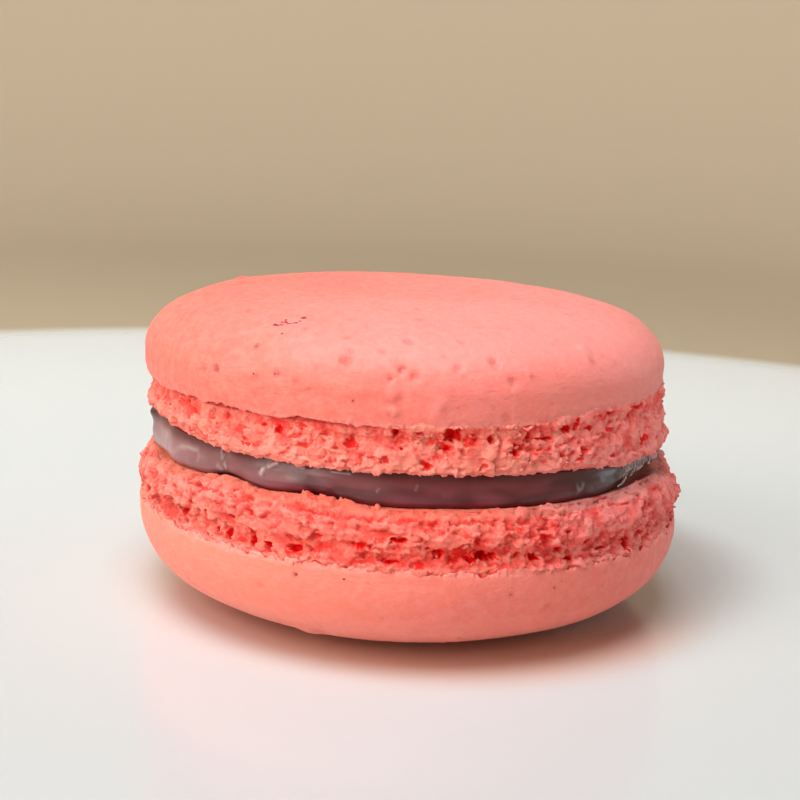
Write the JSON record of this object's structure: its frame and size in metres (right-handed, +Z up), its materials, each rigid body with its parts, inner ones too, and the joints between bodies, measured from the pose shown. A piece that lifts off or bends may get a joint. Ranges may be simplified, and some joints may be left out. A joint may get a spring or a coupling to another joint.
{
  "type": "french macaron",
  "caption": "Round pink macaron: two domed almond shells with crumbly ruffled feet, pressed together on a thin purple-brown berry filling.",
  "frame": {"origin": "middle of the part's footprint, on the surface that it rests on", "axes": "+Z up through the domes of both shells, -Y towards the side that shows, +X to the right of that side"},
  "size_m": [0.0452, 0.0452, 0.0254],
  "materials": {
    "baked_shell": "satin skin over an open, matte baked crumb",
    "filling": "smooth moist gel"
  },
  "bodies": {
    "root": {"top_shell": "baked_shell", "filling": "filling", "bottom_shell": "baked_shell"}
  },
  "joints": []
}
